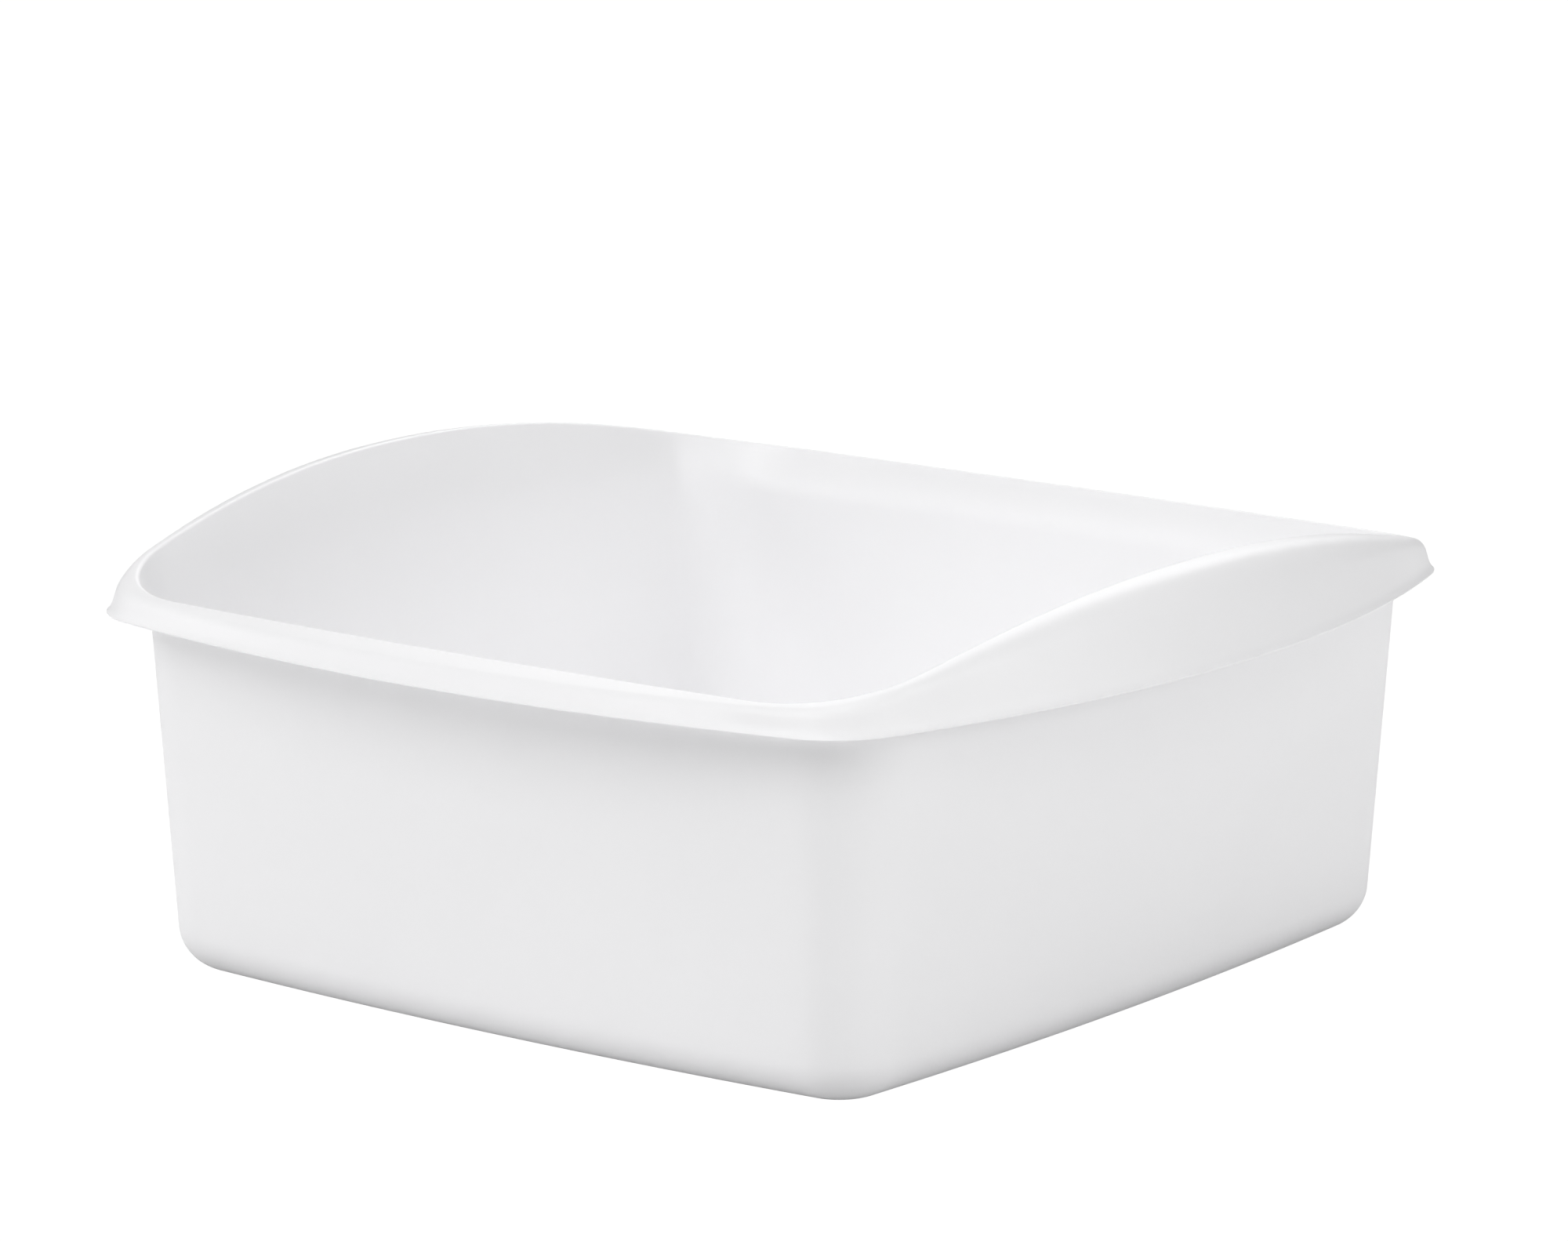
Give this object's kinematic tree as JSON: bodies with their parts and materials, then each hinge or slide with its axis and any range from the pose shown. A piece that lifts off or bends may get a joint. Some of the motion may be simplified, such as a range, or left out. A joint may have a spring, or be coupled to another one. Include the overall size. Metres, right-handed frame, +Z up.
{
  "type": "washing up bowl",
  "caption": "Square moulded washing up bowl with leaning walls, round corners, low rolled rims at front and back, and an arched skirted handle at each end.",
  "frame": {"origin": "on the table, under the middle of the bowl", "axes": "+X from the left handle to the right handle, +Y from the front rim to the back rim, +Z up"},
  "size_m": [0.34, 0.345, 0.142],
  "materials": {
    "white_plastic": "white polypropylene with a soft satin gloss and a fine moulded texture"
  },
  "bodies": {
    "root": {"floor_panel": "white_plastic", "front_wall": "white_plastic", "back_wall": "white_plastic", "left_wall": "white_plastic", "right_wall": "white_plastic", "front_left_corner": "white_plastic", "front_right_corner": "white_plastic", "back_left_corner": "white_plastic", "back_right_corner": "white_plastic", "front_rim": "white_plastic", "back_rim": "white_plastic", "left_handle": "white_plastic", "right_handle": "white_plastic", "front_left_rim_corner": "white_plastic", "front_right_rim_corner": "white_plastic", "back_left_rim_corner": "white_plastic", "back_right_rim_corner": "white_plastic"}
  },
  "joints": []
}
